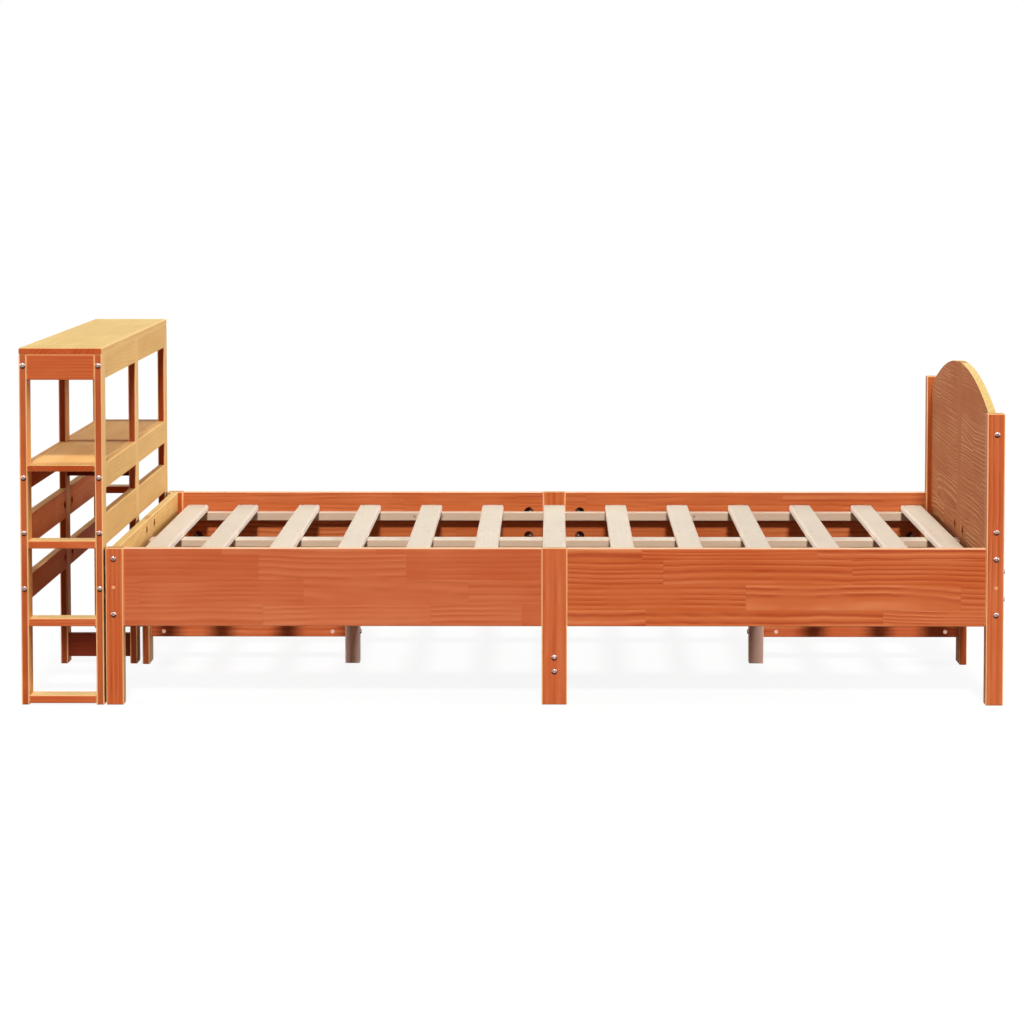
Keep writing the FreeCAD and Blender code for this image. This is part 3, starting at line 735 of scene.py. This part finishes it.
floorLook = {
    "size": 60.0,
    "bounce": (0.12, 0.084, 0.06, 1.0),                 # its colour for the light on the bed
    "shadow": (0.105, 0.105, 0.105, 1.0), "glow": 0.9,  # its colour for the viewer, and its light
}

lightLook = {
    "sky": 0.07, "shade": "ffb084",
    "key": {"strength": 3.02, "angle": 7.0, "elevation": 39.0, "side": 2.0},
    "footFill": {"strength": 2.2, "angle": 40.0, "elevation": 20.0, "side": 94.0},
    "headFill": {"strength": 2.2, "angle": 40.0, "elevation": 18.0, "side": 266.0},
    "backFill": {"strength": 1.1, "angle": 60.0, "elevation": 12.0, "side": 180.0},
}


def seenDirectly(tree):
    # 1 for what the camera, a reflection or glass shows
    path = addNode(tree, "ShaderNodeLightPath").outputs
    shown = calc(tree, "MAXIMUM", path["Is Camera Ray"], path["Is Glossy Ray"])
    return calc(tree, "MAXIMUM", shown, path["Is Transmission Ray"])


def floorMaterial():
    material, tree = newMaterial("paleFloor")
    tree.nodes.clear()
    plain, soft = [
        addNode(tree, "ShaderNodeBsdfDiffuse", {"Color": floorLook[name]}).outputs[0]
        for name in ("bounce", "shadow")]
    glow = {"Color": "ffffff", "Strength": floorLook["glow"]}
    glow = addNode(tree, "ShaderNodeEmission", glow).outputs[0]
    white = addNode(tree, "ShaderNodeAddShader", {0: soft, 1: glow}).outputs[0]
    mixed = addNode(tree, "ShaderNodeMixShader", {0: seenDirectly(tree), 1: plain, 2: white})
    addNode(tree, "ShaderNodeOutputMaterial", {"Surface": mixed.outputs[0]})
    return material


def addFloor():
    reach = floorLook["size"] / 2
    corners = [(-reach, -reach, 0), (reach, -reach, 0), (reach, reach, 0), (-reach, reach, 0)]
    mesh = bpy.data.meshes.new("floor")
    mesh.from_pydata(corners, [], [(0, 1, 2, 3)])
    mesh.materials.append(floorMaterial())
    floor = addObject("floor", mesh)


def addSky():
    world = bpy.data.worlds.new("studio")
    bpy.context.scene.world = world
    world.use_nodes = True
    tree = world.node_tree
    tree.nodes.clear()
    shown = seenDirectly(tree)
    strength = calc(tree, "MULTIPLY_ADD", shown, 1.0 - lightLook["sky"], lightLook["sky"])
    tint = blendColor(tree, shown, lightLook["shade"], "ffffff")
    sky = addNode(tree, "ShaderNodeBackground", {"Color": tint, "Strength": strength})
    addNode(tree, "ShaderNodeOutputWorld", {"Surface": sky.outputs[0]})


def addLamp(name):
    # side 0 is the viewer's side, 90 the foot
    settings = lightLook[name]
    lamp = bpy.data.lights.new(name, "SUN")
    lamp.energy = settings["strength"]
    lamp.angle = radians(settings["angle"])
    holder = addObject(name, lamp)
    holder.rotation_euler = (radians(90 - settings["elevation"]), 0, radians(settings["side"]))


addFloor()
addSky()
for name in ("key", "footFill", "headFill", "backFill"):
    addLamp(name)
bpy.context.scene.view_settings.view_transform = "Standard"
print("floor and lights set")


# camera at the photograph's place

cameraLook = {
    "place": (0.0933, -8.073, 1.281), "down": 3.542, "turn": 0.37,
    "lens": 115.18, "sensor": 36.0, "shift": (-0.02, -0.16), "farthest": 200.0,
}


def addCamera():
    camera = bpy.data.cameras.new("camera")
    camera.lens = cameraLook["lens"]
    camera.sensor_width = cameraLook["sensor"]
    camera.shift_x, camera.shift_y = cameraLook["shift"]
    camera.clip_end = cameraLook["farthest"]
    holder = addObject("camera", camera)
    holder.location = cameraLook["place"]
    holder.rotation_euler = (radians(90 - cameraLook["down"]), 0, radians(cameraLook["turn"]))
    bpy.context.scene.camera = holder


addCamera()
print("camera set")
